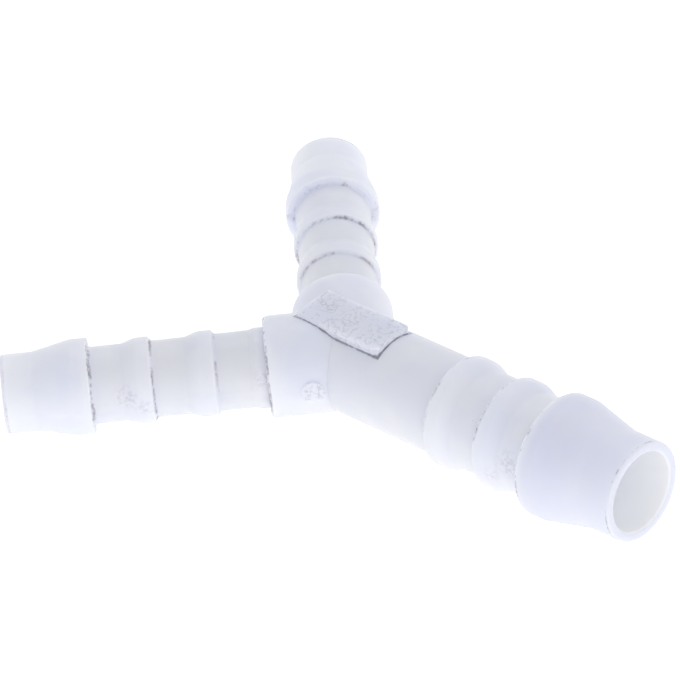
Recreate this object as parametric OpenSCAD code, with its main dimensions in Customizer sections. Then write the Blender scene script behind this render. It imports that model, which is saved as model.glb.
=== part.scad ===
// Reducing Y connector for hose, moulded in one piece: one large barbed leg (the stem)
// and two smaller barbed legs (the branches). It lies as it rests on a table, on the
// sealing barbs of its three legs, with the stem pointing along +X.

/* [Layout] */
// Angle between each branch and the line of the stem, in degrees
branch_angle = 45; // [38:1:58]
// From the centre of the junction to the mouth of the stem
stem_len = 38.7; // [36:0.1:60]
// From the centre of the junction to the mouth of each branch
branch_len = 34.5; // [33.5:0.1:55]

/* [Body] */
// Outside diameter of the body, and of the plain tube of the stem
body_d = 10.3; // [9.6:0.1:11]
// From the centre of the junction to the hose stop on each branch
stop_at = 8; // [7:0.1:8.8]
// Rounding of the rim of the hose stop
stop_round = 0.5; // [0.1:0.05:0.8]

/* [Stem] */
// Bore of the stem
stem_bore_d = 8.4; // [6.4:0.1:8.8]
// Outside diameter at the mouth of the stem
stem_tip_d = 10.4; // [10:0.1:11.4]
// Outside diameter between the barbs of the stem
stem_neck_d = 10.3; // [9.6:0.1:10.9]
// Crest diameter of the sealing barb of the stem, the one nearest its mouth
stem_seal_d = 12.8; // [12.2:0.1:14]
// Crest diameter of the two grip barbs of the stem
stem_grip_d = 11.6; // [11.2:0.1:12.6]
// Length of the plain lead-in at the mouth of the stem
stem_lead = 3.9; // [2:0.1:5]
// Length of the ramp of the stem's sealing barb
stem_ramp = 5.3; // [3:0.1:6]

/* [Branches] */
// Bore of each branch
branch_bore_d = 6.2; // [4.5:0.1:6.6]
// Outside diameter at the mouth of a branch
branch_tip_d = 8; // [7.6:0.1:8.8]
// Outside diameter between the barbs of a branch
branch_neck_d = 7.75; // [7.2:0.05:8.2]
// Outside diameter of the plain tube of a branch
branch_tube_d = 7.8; // [7.2:0.05:8]
// Crest diameter of the sealing barb of a branch, the one nearest its mouth
branch_seal_d = 9.7; // [9.2:0.1:10.8]
// Crest diameter of the two grip barbs of a branch
branch_grip_d = 8.65; // [8.5:0.05:9.4]
// Length of the plain lead-in at the mouth of a branch
branch_lead = 3.2; // [1.5:0.1:4.5]
// Length of the ramp of a branch's sealing barb
branch_ramp = 3.9; // [2.5:0.1:5]
// Diameter of the collar in front of the hose stop
collar_d = 8.15; // [8.05:0.05:8.8]
// Length of the collar, without its taper
collar_len = 0.95; // [0.4:0.05:1.4]
// Length of the taper from the collar down to the tube
collar_taper = 0.6; // [0.2:0.05:1]

/* [Barbs] */
// Length of the cylindrical crest of a sealing barb
seal_land = 1.7; // [1:0.1:2.4]
// Length of the cylindrical crest of a grip barb
grip_land = 1.3; // [0.8:0.1:1.8]
// Length of the ramp of a grip barb
grip_ramp = 1.45; // [0.8:0.05:2]
// Slope of the rear of a grip barb, as a length along the leg
grip_heel = 0.25; // [0.05:0.05:0.5]
// From the rear of the sealing barb to the rear of the first grip barb
first_pitch = 6.1; // [5:0.1:6.6]
// From the rear of the first grip barb to the rear of the second
second_pitch = 6.35; // [5:0.1:6.6]
// Rounding of the rear edge of each crest
crest_edge = 0.12; // [0.05:0.01:0.25]
// Fillet in the corner behind each barb
root_fillet = 0.4; // [0.1:0.05:0.6]
// Rounding of the ramps where they meet crest and neck
ramp_round = 1.6; // [0.4:0.1:3]

/* [Mouths] */
// Rounding of the outer edge of each mouth
lip_round = 0.25; // [0.05:0.05:0.35]
// Rounding of the inner edge of each mouth
bore_round = 0.33; // [0.05:0.01:0.4]

/* [Pad] */
// Length of the raised pad, along the stem
pad_len = 11.2; // [8:0.1:13]
// Width of the raised pad
pad_w = 5.1; // [4:0.1:6.4]
// From the centre of the junction to the end of the pad on the stem's side
pad_end = 7; // [5:0.1:8]
// Height of the pad's top above the top of the body
pad_rise = 0.35; // [0.2:0.05:0.8]
// Rounding of the pad's top edges
pad_edge = 0.3; // [0.1:0.05:0.5]
// Rounding of the pad's upright corners
pad_corner = 0.7; // [0.3:0.05:1.5]

/* [Gate mark] */
// Diameter of the round mark where the moulding gate was
gate_d = 2.4; // [1.6:0.1:3]
// Height of the gate mark above the side of the body
gate_rise = 0.12; // [0.05:0.01:0.3]
// From the centre of the junction to the middle of the gate mark, along its branch
gate_at = 3.6; // [3:0.1:5]

/* [Hidden] */
$fn = 96;
arc_steps = 5;
past = 1; // how far a cut runs past the surface it opens
half_turn = 180;
body_r = body_d / 2;

// Height of the three axes' meeting point, and the tilt that lets all three legs touch
// the table: the stem's larger barb lifts its end.
stem_seat = stem_len - stem_lead - stem_ramp - seal_land;
branch_seat = (branch_len - branch_lead - branch_ramp) * cos(branch_angle);
rest_tilt = atan((stem_seal_d - branch_seal_d) / 2 / (stem_seat + branch_seat));
rest_height = stem_seal_d / 2 * cos(rest_tilt) - stem_seat * sin(rest_tilt);

// Reach of the legs along X before the tilt, for an origin midway between the ends
branch_lip = branch_tip_d / 2 - lip_round;
branch_reach = (branch_len - lip_round) * cos(branch_angle)
    + branch_lip * sin(branch_angle) + lip_round;
mid_x = (stem_len * cos(rest_tilt) + (stem_tip_d / 2 - lip_round) * sin(rest_tilt)
    - branch_reach * cos(rest_tilt)) / 2;

function unit(v) = v / norm(v);
function heading(v) = atan2(v[1], v[0]);
// Angle from one heading to another by the short way round
function turn(from, to) = (to - from + 3 * half_turn) % (2 * half_turn) - half_turn;
function is_straight(a, b, c) = abs(unit(b - a) * unit(c - b)) > 0.99999;

// Points of the arc that rounds corner b between a and c. It never takes more than
// half of either side.
function arc_at(a, b, c, radius) =
    let (
        u = unit(a - b),
        v = unit(c - b),
        half = acos(u * v) / 2,
        reach = min(radius / tan(half), norm(a - b) / 2, norm(c - b) / 2),
        r = reach * tan(half),
        centre = b + unit(u + v) * r / sin(half),
        start = heading(b + u * reach - centre),
        sweep = turn(start, heading(b + v * reach - centre))
    )
    [for (i = [0 : arc_steps])
        centre + r * [cos(start + sweep * i / arc_steps), sin(start + sweep * i / arc_steps)]];

function flat(corner) = [corner[0], corner[1]];

// Outline through corners [x, y, rounding]
function rounded(corners) =
    let (n = len(corners))
    [for (i = [0 : n - 1])
        let (
            a = flat(corners[(i + n - 1) % n]),
            b = flat(corners[i]),
            c = flat(corners[(i + 1) % n])
        )
        each (corners[i][2] == 0 || is_straight(a, b, c)) ? [b] : arc_at(a, b, c, corners[i][2])];

// Corners [radius, distance from the junction, rounding] of one barb. Its rear faces the
// junction at distance rear, and its ramp falls towards the mouth.
function barb(rear, root_r, crest_r, front_r, land, ramp, heel) = [
    [root_r, rear - heel, root_fillet],
    [crest_r, rear, crest_edge],
    [crest_r, rear + land, ramp_round],
    [front_r, rear + land + ramp, ramp_round]
];

// Corners of the barbed end of a leg: two grip barbs, the sealing barb and the mouth
function barbed_end(length, tube_d, neck_d, grip_d, seal_d, tip_d, lead, ramp) =
    let (
        seal_rear = length - lead - ramp - seal_land,
        first_rear = seal_rear - first_pitch,
        second_rear = first_rear - second_pitch
    )
    concat(
        barb(second_rear, tube_d / 2, grip_d / 2, neck_d / 2, grip_land, grip_ramp, grip_heel),
        barb(first_rear, neck_d / 2, grip_d / 2, neck_d / 2, grip_land, grip_ramp, grip_heel),
        barb(seal_rear, neck_d / 2, seal_d / 2, tip_d / 2, seal_land, ramp, 0),
        [[tip_d / 2, length, lip_round], [0, length, 0]]
    );

// Turned solid along +X from an outline of points [radius, distance]. Its seam lies at the
// side, along the parting line.
module turned(outline) {
    rotate([90, 0, 90])
        rotate_extrude()
            polygon(outline);
}

// Turned solid along +X from corners [radius, distance, rounding]
module leg(corners) {
    turned(rounded(corners));
}

module stem() {
    leg(concat(
        [[0, 0, 0], [body_r, 0, 0]],
        barbed_end(stem_len, body_d, stem_neck_d, stem_grip_d, stem_seal_d, stem_tip_d,
            stem_lead, stem_ramp)
    ));
}

// Branch with its hose stop: the body ends in a rounded shoulder with a low collar
module branch() {
    leg(concat(
        [[0, 0, 0], [body_r, 0, 0]],
        [
            [body_r, stop_at, stop_round],
            [collar_d / 2, stop_at, 0],
            [collar_d / 2, stop_at + collar_len, 0],
            [branch_tube_d / 2, stop_at + collar_len + collar_taper, 0]
        ],
        barbed_end(branch_len, branch_tube_d, branch_neck_d, branch_grip_d, branch_seal_d,
            branch_tip_d, branch_lead, branch_ramp)
    ));
}

// Bore along +X from the junction, with a rounded mouth
module bore(bore_d, length) {
    wall = bore_d / 2;
    mouth = wall + bore_round;
    turned(concat(
        [[0, 0], [wall, 0]],
        arc_at([wall, 0], [wall, length], [wall + 2 * bore_round, length], bore_round),
        [[mouth, length + past], [0, length + past]]
    ));
}

// Turns its children from the line of the stem to that of one branch
module on_branch(side) {
    rotate([0, 0, side * (half_turn - branch_angle)])
        children();
}

// Upright outline of the pad with its two top edges rounded, as wide as width
module pad_section(width) {
    top = body_r + pad_rise;
    polygon(rounded([
        [-width / 2, 0, 0],
        [width / 2, 0, 0],
        [width / 2, top, pad_edge],
        [-width / 2, top, pad_edge]
    ]));
}

// Raised pad on top of the junction: one block rounded from above, from the side and
// from the end
module pad() {
    middle = pad_end - pad_len / 2;
    translate([middle, 0, 0])
        intersection() {
            rotate([90, 0, 0])
                linear_extrude(pad_w + past, center = true)
                    pad_section(pad_len);
            rotate([90, 0, 90])
                linear_extrude(pad_len + past, center = true)
                    pad_section(pad_w);
            linear_extrude(body_d)
                polygon(rounded([
                    for (corner = [[-1, -1], [1, -1], [1, 1], [-1, 1]])
                        [corner[0] * pad_len / 2, corner[1] * pad_w / 2, pad_corner]
                ]));
        }
}

// Low round mark of the moulding gate, on the parting line at the side of one branch
module gate_mark() {
    on_branch(-1)
        translate([gate_at, 0, 0])
            rotate([-90, 0, 0])
                cylinder(d = gate_d, h = body_r + gate_rise);
}

module y_connector() {
    color("ghostwhite")
        translate([-mid_x, 0, rest_height])
            rotate([0, -rest_tilt, 0])
                difference() {
                    union() {
                        stem();
                        for (side = [-1, 1])
                            on_branch(side)
                                branch();
                        pad();
                        gate_mark();
                    }
                    bore(stem_bore_d, stem_len);
                    for (side = [-1, 1])
                        on_branch(side)
                            bore(branch_bore_d, branch_len);
                }
}

y_connector();
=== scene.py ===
import math
import bmesh
import bpy
from mathutils import Matrix, Vector

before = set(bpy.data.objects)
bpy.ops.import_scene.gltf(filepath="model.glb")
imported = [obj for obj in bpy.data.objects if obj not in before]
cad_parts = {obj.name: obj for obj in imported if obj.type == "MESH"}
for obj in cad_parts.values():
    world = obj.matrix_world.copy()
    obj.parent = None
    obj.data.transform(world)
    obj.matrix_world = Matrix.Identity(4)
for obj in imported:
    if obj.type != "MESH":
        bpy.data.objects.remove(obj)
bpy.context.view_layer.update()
scene = bpy.context.scene

# where the photograph was taken from, fitted to the rings of the three legs
cameraValues = {
    "place": (0.380355, -0.391971, 0.414898),
    "lookAt": (-0.007026, 0.000480, 0.007045),
    "roll": -4.63,
    "lens": 362.64,
    "sensorWidth": 36,
    "clipStart": 0.01,
}

# a white table lit from within, under a soft sky that is brighter near the horizon
stageValues = {
    "floorSize": 3.0,
    "floorRoughness": 0.9,
    "floorSpecular": 0.1,
    "floorColor": (0.12, 0.12, 0.12, 1),
    "floorGlow": 1.0,
    "floorShownColor": (0.5, 0.5, 0.5, 1),
    "floorShownGlow": 0.70,
    "sky": ((0.0, 1.15), (0.35, 0.74), (1.0, 0.56)),  # height, strength
    "skyTint": (0.975, 0.98, 1.0),
    "keyPlace": (-0.25, 0.35, 0.55),
    "keySize": 0.5,
    "keyPower": 0.9,
    "fillPlace": (0.60, -0.30, 0.10),
    "fillSize": 0.5,
    "fillPower": 0.8,
    "diffuseBounces": 16,  # light crosses the milky walls many times
    "allBounces": 24,
}

# the connector leans a little, so that the sealing barbs of all three legs touch the table
lean = Matrix.Rotation(math.radians(-1.882), 3, "Y")
meeting = Vector((-0.005868, 0.0, 0.005484))  # of the three axes
upright = lean @ Vector((0, 0, 1))
sideways = Vector((0, 1, 0))
bodyRadius = 0.00515

# the three legs: heading in degrees, bore radius, length, and the places where grime has
# gathered with painted shade, as distance from the meeting point, strength and half width
legs = {
    "stem": {
        "heading": 0,
        "bore": 0.0042,
        "reach": 0.0387,
        "grimeAndShadeLines": (
            (0.01546, 0.52, 0.00018),
            (0.02182, 0.58, 0.00018),
            (0.0279, 0.66, 0.00026),
            (0.0384, 0.60, 0.00016),
        ),
    },
    "frontBranch": {
        "heading": -135,
        "bore": 0.0031,
        "reach": 0.0345,
        "grimeAndShadeLines": (
            (0.0079, 0.85, 0.00022),
            (0.0130, 0.40, 0.00022),
            (0.0194, 0.60, 0.00022),
            (0.0256, 0.78, 0.00028),
            (0.0342, 0.35, 0.00018),
        ),
    },
    "backBranch": {
        "heading": 135,
        "bore": 0.0031,
        "reach": 0.0345,
        "grimeAndShadeLines": (
            (0.0079, 0.60, 0.00022),
            (0.0130, 0.58, 0.00022),
            (0.0194, 0.60, 0.00022),
            (0.0256, 0.42, 0.00022),
            (0.0342, 0.35, 0.00018),
        ),
    },
}
for leg in legs.values():
    heading = math.radians(leg["heading"])
    leg["axis"] = lean @ Vector((math.cos(heading), math.sin(heading), 0))

# brown smudges: leg, distance along it, turn about it from the top in degrees, radius
smudges = (
    ("frontBranch", 0.0222, 78, 0.0019),
    ("frontBranch", 0.0205, 95, 0.0015),
    ("frontBranch", 0.0083, 70, 0.0016),
    ("stem", 0.0258, 80, 0.0021),
    ("stem", 0.0236, 100, 0.0014),
)

# raised pad over the meeting point, and the torn patch that the gate left on the front branch
padValues = {
    "middle": 0.0014,
    "halfLength": 0.0056,
    "halfWidth": 0.00255,
    "above": (0.0036, 0.0032),  # height over the axes
    "edge": (0.0, 0.0003),
}
gateValues = {
    "along": 0.0036,
    "reach": (0.0010, 0.001375),
    "facing": (math.sqrt(0.5), -math.sqrt(0.5), 0.0),
    "side": (0.0040, 0.0030),
}

# how grime gathers, with painted shade in the creases. A pair of values runs from where it is
# full to where it ends.
grimeAndShadeValues = {
    "closeToBody": (0.00003, 0.00022),
    "footOfPad": (0.00002, 0.00022),
    "patchyShare": 0.8,
    "creaseGrimeAndShadeShare": 0.50,
    "broken": (1.42, 1.06),
    "creaseGrimeAndShade": (0.40, 0.02),
    "strength": 0.50,
    "lone": (0.76, 0.68),
    "lonePatches": (0.62, 0.48),
    "loneStrength": 0.22,
    "stroke": (0.010, 0.040),
    "strokePatches": (0.56, 0.44),
    "padSpecks": (0.68, 0.56),
    "padSpeckShare": 0.8,
    "padStrength": 0.19,
    "gateSpecks": (0.62, 0.50),
    "gateStrength": 0.20,
    "smudgeGrain": (0.62, 0.38),
    "brownEdge": (0.5, 0.0),
    "brownPatches": (0.62, 0.48),
    "brownStrength": 0.28,
}

# milky unfilled plastic, grimy and with painted shade in its corners, with painted light in its
# bores
plasticValues = {
    "color": (0.795, 0.815, 0.92, 1),
    "paleColor": (0.83, 0.84, 0.92, 1),
    # painted light: the walls of the bores are lighter, standing in for light let in through the
    # milky walls
    "paintedBoreLightColor": (0.955, 0.965, 1.0, 1),
    "deepColor": (0.715, 0.73, 0.845, 1),
    "smudgeColor": (0.30, 0.24, 0.23, 1),
    # near black: grime, and painted shade in the creases and along the barbs' edges
    "grimeAndShadeColor": (0.045, 0.045, 0.06, 1),
    "clouds": (0.62, 0.40),
    "thickFrom": (0.0290, 0.0265),  # the stem's sealing barb and lead-in
    "thickShare": 0.55,
    "padShare": 0.60,
    "mouthRim": (0.0001, 0.0005),  # back from the end of a leg
    "boreEdge": (0.00004, 0.00022),  # out from the wall of a bore
    "ahead": (0.0008, 0.0),  # in front of the meeting point
    "roughness": (0.36, 0.50),
    "darkAndGateRoughness": 0.2,
    "subsurface": 1.0,
    "subsurfaceLost": 0.8,  # under the grime and the painted shade
    "scatter": (1.0, 1.0, 1.0),
    "scatterScale": 0.0015,
    "ior": 1.49,
    "grainSize": 0.00035,
    "speckSize": 0.00040,
    "strokeSize": 0.0010,
    "waveSize": 0.0030,
    "cloudSize": 0.0060,
    "grainHeight": 0.25,
    "waveHeight": 1.2,
    "tornHeight": 2.0,
    "bump": 0.10,
    "bumpDistance": 0.0002,
}


def makeCamera():
    camera = bpy.data.objects.new("camera", bpy.data.cameras.new("camera"))
    scene.collection.objects.link(camera)
    camera.data.lens = cameraValues["lens"]
    camera.data.sensor_width = cameraValues["sensorWidth"]
    camera.data.clip_start = cameraValues["clipStart"]
    place = Vector(cameraValues["place"])
    back = place - Vector(cameraValues["lookAt"])
    turn = back.to_track_quat("Z", "Y").to_matrix().to_4x4()
    roll = Matrix.Rotation(math.radians(cameraValues["roll"]), 4, "Z")
    camera.matrix_world = Matrix.Translation(place) @ turn @ roll
    scene.camera = camera


def newMaterial(name):
    material = bpy.data.materials.new(name)
    material.use_nodes = True
    return material, material.node_tree.nodes, material.node_tree.links


def makeStage():
    bm = bmesh.new()
    bmesh.ops.create_grid(bm, x_segments=1, y_segments=1, size=stageValues["floorSize"])
    mesh = bpy.data.meshes.new("floor")
    bm.to_mesh(mesh)
    bm.free()
    floor = bpy.data.objects.new("floor", mesh)
    scene.collection.objects.link(floor)
    material, nodes, links = newMaterial("paleFloor")
    shader = nodes["Principled BSDF"]
    shader.inputs["Roughness"].default_value = stageValues["floorRoughness"]
    shader.inputs["Specular IOR Level"].default_value = stageValues["floorSpecular"]
    shader.inputs["Emission Color"].default_value = (1, 1, 1, 1)
    # the camera sees the table's shadow, the object gets an even glow from below
    path = nodes.new("ShaderNodeLightPath")
    color = nodes.new("ShaderNodeMix")
    color.data_type = "RGBA"
    color.inputs["A"].default_value = stageValues["floorColor"]
    color.inputs["B"].default_value = stageValues["floorShownColor"]
    links.new(path.outputs["Is Camera Ray"], color.inputs["Factor"])
    links.new(color.outputs["Result"], shader.inputs["Base Color"])
    glow = nodes.new("ShaderNodeMix")
    glow.inputs["A"].default_value = stageValues["floorGlow"]
    glow.inputs["B"].default_value = stageValues["floorShownGlow"]
    links.new(path.outputs["Is Camera Ray"], glow.inputs["Factor"])
    links.new(glow.outputs["Result"], shader.inputs["Emission Strength"])
    floor.data.materials.append(material)


def makeLamp(name, place, size, power):
    lamp = bpy.data.lights.new(name, "AREA")
    lamp.size = size
    lamp.energy = power
    holder = bpy.data.objects.new(name, lamp)
    scene.collection.objects.link(holder)
    aim = Vector(place).to_track_quat("Z", "Y").to_matrix().to_4x4()
    holder.matrix_world = Matrix.Translation(place) @ aim


def makeLight():
    world = bpy.data.worlds.new("sky")
    scene.world = world
    world.use_nodes = True
    nodes, links = world.node_tree.nodes, world.node_tree.links
    where = nodes.new("ShaderNodeTexCoord")
    split = nodes.new("ShaderNodeSeparateXYZ")
    links.new(where.outputs["Generated"], split.inputs[0])
    ramp = nodes.new("ShaderNodeValToRGB")
    stops = ramp.color_ramp.elements
    stops.new(0.5)
    for stop, (height, strength) in zip(stops, stageValues["sky"]):
        stop.position = height
        stop.color = (*(strength * channel for channel in stageValues["skyTint"]), 1)
    links.new(split.outputs["Z"], ramp.inputs[0])
    links.new(ramp.outputs[0], nodes["Background"].inputs["Color"])
    makeLamp("key", stageValues["keyPlace"], stageValues["keySize"], stageValues["keyPower"])
    makeLamp("fill", stageValues["fillPlace"], stageValues["fillSize"], stageValues["fillPower"])
    scene.view_settings.view_transform = "Standard"
    scene.cycles.diffuse_bounces = stageValues["diffuseBounces"]
    scene.cycles.max_bounces = stageValues["allBounces"]


def plug(tree, socket, value):
    if hasattr(value, "is_output"):
        tree.links.new(value, socket)
    else:
        socket.default_value = value


def number(tree, operation, *values):
    node = tree.nodes.new("ShaderNodeMath")
    node.operation = operation
    for socket, value in zip(node.inputs, values):
        plug(tree, socket, value)
    return node.outputs[0]


def times(tree, first, *others):
    for other in others:
        first = number(tree, "MULTIPLY", first, other)
    return first


def largest(tree, first, *others):
    for other in others:
        first = number(tree, "MAXIMUM", first, other)
    return first


def distance(tree, first, second):
    return number(tree, "ABSOLUTE", number(tree, "SUBTRACT", first, second))


def vector(tree, operation, *values, output="Vector"):
    node = tree.nodes.new("ShaderNodeVectorMath")
    node.operation = operation
    for socket, value in zip(node.inputs, values):
        plug(tree, socket, value)
    return node.outputs[output]


def component(tree, place, direction):
    return vector(tree, "DOT_PRODUCT", place, direction, output="Value")


# 1 where the value is full, 0 where it ends, smooth between
def fade(tree, value, span):
    full, none = span
    node = tree.nodes.new("ShaderNodeMapRange")
    node.interpolation_type = "SMOOTHSTEP"
    plug(tree, node.inputs["Value"], value)
    node.inputs["From Min"].default_value = min(span)
    node.inputs["From Max"].default_value = max(span)
    node.inputs["To Min"].default_value = 1.0 if full < none else 0.0
    node.inputs["To Max"].default_value = 0.0 if full < none else 1.0
    return node.outputs["Result"]


def noise(tree, where, size, detail=2.0, rough=0.5):
    node = tree.nodes.new("ShaderNodeTexNoise")
    plug(tree, node.inputs["Vector"], where)
    node.inputs["Scale"].default_value = 1 / size
    node.inputs["Detail"].default_value = detail
    node.inputs["Roughness"].default_value = rough
    return node.outputs[0]


def blend(tree, factor, first, second):
    node = tree.nodes.new("ShaderNodeMix")
    node.data_type = "RGBA"
    plug(tree, node.inputs["Factor"], factor)
    plug(tree, node.inputs["A"], first)
    plug(tree, node.inputs["B"], second)
    return node.outputs["Result"]


# one ramp along the leg, with a peak at each place of grime and painted shade
def legLines(tree, along, leg):
    ramp = tree.nodes.new("ShaderNodeValToRGB")
    stops = ramp.color_ramp.elements
    stops[0].color = (0, 0, 0, 1)
    stops[1].color = (0, 0, 0, 1)
    for place, strength, halfWidth in leg["grimeAndShadeLines"]:
        for offset, share in ((-halfWidth, 0.0), (0.0, strength), (halfWidth, 0.0)):
            stop = stops.new(min((place + offset) / leg["reach"], 0.9999))
            stop.color = (share, share, share, 1)
    plug(tree, ramp.inputs[0], number(tree, "DIVIDE", along, leg["reach"]))
    return ramp.outputs[0]


# distance along a leg, and its masks: in the bore, where light is painted, on the lines of grime
# and painted shade, close to the body
def legMasks(tree, fromMeeting, leg):
    along = component(tree, fromMeeting, leg["axis"])
    onAxis = tree.nodes.new("ShaderNodeVectorMath")
    onAxis.operation = "SCALE"
    onAxis.inputs[0].default_value = leg["axis"]
    plug(tree, onAxis.inputs["Scale"], along)
    away = vector(tree, "SUBTRACT", fromMeeting, onAxis.outputs["Vector"])
    out = vector(tree, "LENGTH", away, output="Value")
    ahead = fade(tree, along, plasticValues["ahead"])
    boreEdge = [leg["bore"] + edge for edge in plasticValues["boreEdge"]]
    closeToBody = fade(tree, distance(tree, out, bodyRadius), grimeAndShadeValues["closeToBody"])
    return {
        "along": along,
        "inside": times(tree, fade(tree, out, boreEdge), ahead),
        "lines": legLines(tree, along, leg),
        "close": times(tree, closeToBody, ahead),
    }


# on the pad, and along its foot
def padMasks(tree, fromMeeting, masks, height):
    fromMiddle = distance(tree, masks["stem"]["along"], padValues["middle"])
    pastEnd = number(tree, "SUBTRACT", fromMiddle, padValues["halfLength"])
    fromLine = number(tree, "ABSOLUTE", component(tree, fromMeeting, sideways))
    pastSide = number(tree, "SUBTRACT", fromLine, padValues["halfWidth"])
    past = largest(tree, pastEnd, pastSide)
    above = fade(tree, height, padValues["above"])
    outline = fade(tree, number(tree, "ABSOLUTE", past), grimeAndShadeValues["footOfPad"])
    onBody = largest(tree, *(mask["close"] for mask in masks.values()))
    onPad = times(tree, fade(tree, past, padValues["edge"]), above)
    return onPad, times(tree, outline, onBody, above)


# the rough round patch of the gate
def gateMask(tree, fromMeeting, masks, height):
    across = number(tree, "SUBTRACT", masks["frontBranch"]["along"], gateValues["along"])
    squares = number(tree, "ADD", times(tree, across, across), times(tree, height, height))
    reach = fade(tree, number(tree, "SQRT", squares), gateValues["reach"])
    side = fade(tree, component(tree, fromMeeting, gateValues["facing"]), gateValues["side"])
    return times(tree, reach, side)


# grime broken up into specks and strokes; the lines along the creases and edges are grime with
# painted shade
def grimeAndShadeMask(tree, where, creaseGrimeAndShade, outside, onPad, onGate, speck, patchy):
    values = grimeAndShadeValues
    level = number(tree, "ADD", speck, times(tree, patchy, values["patchyShare"]))
    level = number(tree, "ADD", level, times(tree, creaseGrimeAndShade, values["creaseGrimeAndShadeShare"]))
    lines = times(tree, fade(tree, level, values["broken"]),
                  fade(tree, creaseGrimeAndShade, values["creaseGrimeAndShade"]), values["strength"])
    lone = times(tree, fade(tree, speck, values["lone"]),
                 fade(tree, patchy, values["lonePatches"]), outside, values["loneStrength"])
    scribble = noise(tree, where, plasticValues["strokeSize"], 1.0)
    stroke = times(tree, fade(tree, distance(tree, scribble, 0.5), values["stroke"]),
                   fade(tree, patchy, values["strokePatches"]))
    padSpecks = times(tree, fade(tree, speck, values["padSpecks"]), values["padSpeckShare"])
    padSpecks = times(tree, largest(tree, padSpecks, stroke), onPad, values["padStrength"])
    gateSpecks = largest(tree, fade(tree, speck, values["gateSpecks"]), stroke)
    gateSpecks = times(tree, gateSpecks, onGate, values["gateStrength"])
    return largest(tree, lines, lone, padSpecks, gateSpecks)


def smudgePlace(leg, place, turn):
    axis = leg["axis"]
    side = axis.cross(upright) if axis.x > 0 else upright.cross(axis)  # the camera's side
    around = upright * math.cos(turn) + side * math.sin(turn)
    return meeting + axis * place + around * (leg["bore"] + 0.0008)


# brown smudges by the barbs, and brown edges where grime has gathered in the creases
def brownMask(tree, where, creaseGrimeAndShade, outside, speck, patchy):
    spots = []
    for name, place, turn, radius in smudges:
        centre = smudgePlace(legs[name], place, math.radians(turn))
        reach = vector(tree, "DISTANCE", where, centre, output="Value")
        spots.append(fade(tree, reach, (0.0, radius)))
    spots = times(tree, largest(tree, *spots), fade(tree, speck, grimeAndShadeValues["smudgeGrain"]))
    edges = times(tree, fade(tree, creaseGrimeAndShade, grimeAndShadeValues["brownEdge"]),
                  fade(tree, patchy, grimeAndShadeValues["brownPatches"]))
    return times(tree, largest(tree, spots, edges), grimeAndShadeValues["brownStrength"], outside)


# darker colour over the stem's end, the pad and the mouths' rims
def deepMask(tree, masks, onPad, outside):
    thick = fade(tree, masks["stem"]["along"], plasticValues["thickFrom"])
    deep = [times(tree, thick, plasticValues["thickShare"]),
            times(tree, onPad, plasticValues["padShare"])]
    for name, leg in legs.items():
        rim = [leg["reach"] - back for back in plasticValues["mouthRim"]]
        deep.append(fade(tree, masks[name]["along"], rim))
    return times(tree, largest(tree, *deep), outside)


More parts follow.
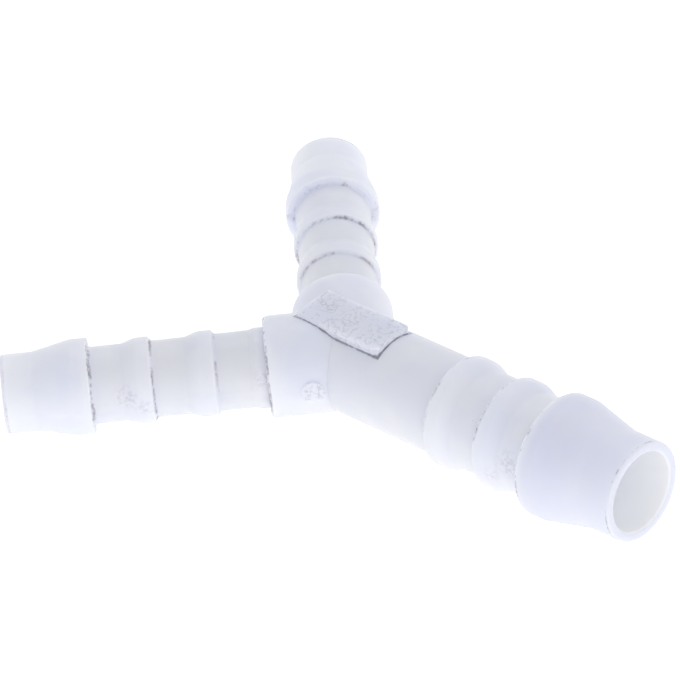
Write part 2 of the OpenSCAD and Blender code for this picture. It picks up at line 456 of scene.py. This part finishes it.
def makePlastic():
    material, nodes, links = newMaterial("milkyPlastic")
    tree = material.node_tree
    shader = nodes["Principled BSDF"]
    where = nodes.new("ShaderNodeTexCoord").outputs["Object"]
    fromMeeting = vector(tree, "SUBTRACT", where, meeting)
    height = component(tree, fromMeeting, upright)
    speck = noise(tree, where, plasticValues["speckSize"], 3.0, 0.6)
    patchy = noise(tree, where, plasticValues["waveSize"])

    masks = {name: legMasks(tree, fromMeeting, leg) for name, leg in legs.items()}
    inside = largest(tree, *(mask["inside"] for mask in masks.values()))
    outside = number(tree, "SUBTRACT", 1.0, inside)
    onPad, foot = padMasks(tree, fromMeeting, masks, height)
    onGate = gateMask(tree, fromMeeting, masks, height)
    # the creases where the back branch meets the others, darkened by grime and painted shade
    creases = [times(tree, masks[name]["close"], masks["backBranch"]["close"])
               for name in ("stem", "frontBranch")]
    lines = [mask["lines"] for mask in masks.values()]
    creaseGrimeAndShade = times(tree, largest(tree, foot, *creases, *lines), outside)
    dark = grimeAndShadeMask(tree, where, creaseGrimeAndShade, outside, onPad, onGate, speck, patchy)
    brown = brownMask(tree, where, creaseGrimeAndShade, outside, speck, patchy)
    deep = deepMask(tree, masks, onPad, outside)

    clouds = fade(tree, noise(tree, where, plasticValues["cloudSize"]), plasticValues["clouds"])
    color = blend(tree, clouds, plasticValues["color"], plasticValues["paleColor"])
    # painted light on the walls of the bores
    color = blend(tree, inside, color, plasticValues["paintedBoreLightColor"])
    color = blend(tree, deep, color, plasticValues["deepColor"])
    color = blend(tree, brown, color, plasticValues["smudgeColor"])
    # grime, and painted shade in the creases and along the edges
    color = blend(tree, dark, color, plasticValues["grimeAndShadeColor"])
    plug(tree, shader.inputs["Base Color"], color)

    lost = times(tree, dark, plasticValues["subsurfaceLost"])
    milky = number(tree, "SUBTRACT", plasticValues["subsurface"], lost)
    plug(tree, shader.inputs["Subsurface Weight"], milky)
    plug(tree, shader.inputs["Subsurface Radius"], plasticValues["scatter"])
    plug(tree, shader.inputs["Subsurface Scale"], plasticValues["scatterScale"])
    plug(tree, shader.inputs["IOR"], plasticValues["ior"])
    smooth, dull = plasticValues["roughness"]
    rough = number(tree, "MULTIPLY_ADD", patchy, dull - smooth, smooth)
    roughOnDarkAndGate = times(tree, largest(tree, dark, onGate), plasticValues["darkAndGateRoughness"])
    plug(tree, shader.inputs["Roughness"], number(tree, "ADD", rough, roughOnDarkAndGate))

    # fine grain of the mould, slow waves, and the torn skin of the gate
    grain = noise(tree, where, plasticValues["grainSize"])
    torn = times(tree, noise(tree, where, plasticValues["speckSize"], 2.0, 0.6), onGate)
    relief = number(tree, "ADD", times(tree, grain, plasticValues["grainHeight"]),
                    times(tree, patchy, plasticValues["waveHeight"]))
    relief = number(tree, "ADD", relief, times(tree, torn, plasticValues["tornHeight"]))
    bump = nodes.new("ShaderNodeBump")
    bump.inputs["Strength"].default_value = plasticValues["bump"]
    bump.inputs["Distance"].default_value = plasticValues["bumpDistance"]
    links.new(relief, bump.inputs["Height"])
    links.new(bump.outputs["Normal"], shader.inputs["Normal"])
    return material


makeCamera()
makeStage()
print("table ready")
makeLight()
print("light ready")
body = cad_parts["y_connector"]
body.material_slots[0].material = makePlastic()
print("connector dressed")
